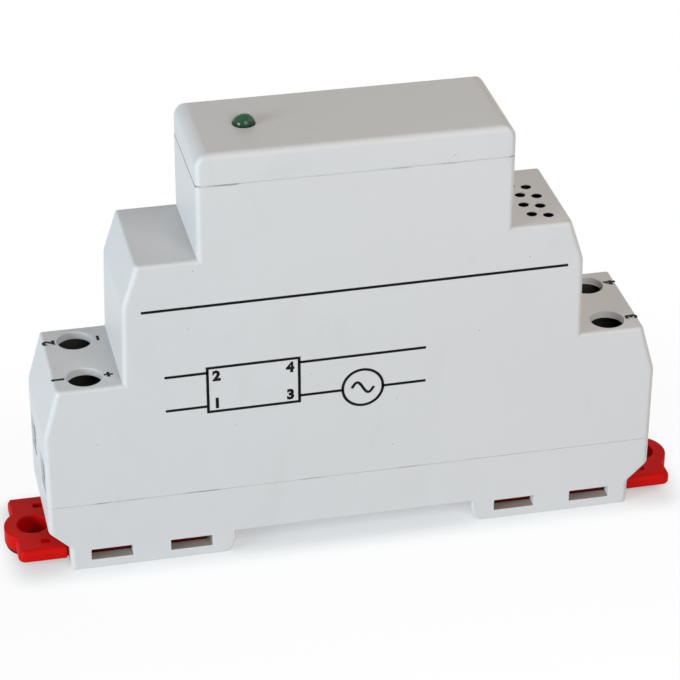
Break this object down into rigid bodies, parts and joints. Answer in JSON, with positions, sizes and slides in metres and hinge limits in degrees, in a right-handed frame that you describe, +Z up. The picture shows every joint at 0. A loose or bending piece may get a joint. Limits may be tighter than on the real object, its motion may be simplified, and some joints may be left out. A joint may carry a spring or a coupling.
{
  "type": "industrial control relay",
  "caption": "Slim rail-mounted control relay: stepped white housing with terminal wells at both ends, a green status lamp on its nose and red sliding rail clips under it.",
  "frame": {"origin": "middle of the plane that the two feet stand on", "axes": "+X along the length from the input end to the output end, +Y from the printed front to the back, +Z up from the rail to the nose"},
  "size_m": [0.1014, 0.0176, 0.0662],
  "materials": {
    "housing": "fine satin moulding",
    "clip": "satin moulding",
    "steel": "zinc plated",
    "brass": "tin flashed",
    "board": "solder resist",
    "alloy": "mill finish",
    "package": "moulded epoxy",
    "pad": "soft",
    "varistor": "dipped epoxy",
    "capacitor": "box film",
    "resistor": "lacquer",
    "lamp": "clear tinted dome"
  },
  "bodies": {
    "housing": {"main_housing": "housing", "top_cap": "housing", "rail_base": "housing", "tab_in_front": "brass", "tab_in_back": "brass", "tab_out_front": "brass", "tab_out_back": "brass", "circuit_board": "board", "heat_sink": "alloy", "power_triac": "package", "thermal_pad": "pad", "triac_screw": "steel", "optocoupler": "package", "varistor": "varistor", "snubber_capacitor": "capacitor", "resistors": "resistor", "input_diode": "package", "lamp_leads": "steel", "status_lamp": "lamp"},
    "clip_left": {"rail_clip_left": "clip"},
    "clip_right": {"rail_clip_right": "clip"},
    "screw_in_front": {"screw_in_front": "steel"},
    "cage_in_front": {"cage_in_front": "steel"},
    "screw_in_back": {"screw_in_back": "steel"},
    "cage_in_back": {"cage_in_back": "steel"},
    "screw_out_front": {"screw_out_front": "steel"},
    "cage_out_front": {"cage_out_front": "steel"},
    "screw_out_back": {"screw_out_back": "steel"},
    "cage_out_back": {"cage_out_back": "steel"}
  },
  "joints": [
    {"name": "clip_left_slide", "type": "slide", "parent": "housing", "child": "clip_left", "axis": [-1, 0, 0], "range_m": [0, 0.005]},
    {"name": "clip_right_slide", "type": "slide", "parent": "housing", "child": "clip_right", "axis": [1, 0, 0], "range_m": [0, 0.005]},
    {"name": "screw_in_front_turn", "type": "hinge", "parent": "housing", "child": "screw_in_front", "pos_m": [-0.0384, -0.0052, 0.0248], "axis": [0, 0, -1], "range_deg": [0, 2000]},
    {"name": "cage_in_front_lift", "type": "slide", "parent": "housing", "child": "cage_in_front", "axis": [0, 0, 1], "range_m": [0, 0.0025]},
    {"name": "screw_in_back_turn", "type": "hinge", "parent": "housing", "child": "screw_in_back", "pos_m": [-0.0384, 0.0052, 0.0248], "axis": [0, 0, -1], "range_deg": [0, 2000]},
    {"name": "cage_in_back_lift", "type": "slide", "parent": "housing", "child": "cage_in_back", "axis": [0, 0, 1], "range_m": [0, 0.0025]},
    {"name": "screw_out_front_turn", "type": "hinge", "parent": "housing", "child": "screw_out_front", "pos_m": [0.0384, -0.0052, 0.0248], "axis": [0, 0, -1], "range_deg": [0, 2000]},
    {"name": "cage_out_front_lift", "type": "slide", "parent": "housing", "child": "cage_out_front", "axis": [0, 0, 1], "range_m": [0, 0.0025]},
    {"name": "screw_out_back_turn", "type": "hinge", "parent": "housing", "child": "screw_out_back", "pos_m": [0.0384, 0.0052, 0.0248], "axis": [0, 0, -1], "range_deg": [0, 2000]},
    {"name": "cage_out_back_lift", "type": "slide", "parent": "housing", "child": "cage_out_back", "axis": [0, 0, 1], "range_m": [0, 0.0025]}
  ],
  "couplings": [
    {"joint": "screw_in_front_turn", "follows": "cage_in_front_lift", "rad_per_m": 13962},
    {"joint": "screw_in_back_turn", "follows": "cage_in_back_lift", "rad_per_m": 13962},
    {"joint": "screw_out_front_turn", "follows": "cage_out_front_lift", "rad_per_m": 13962},
    {"joint": "screw_out_back_turn", "follows": "cage_out_back_lift", "rad_per_m": 13962}
  ]
}
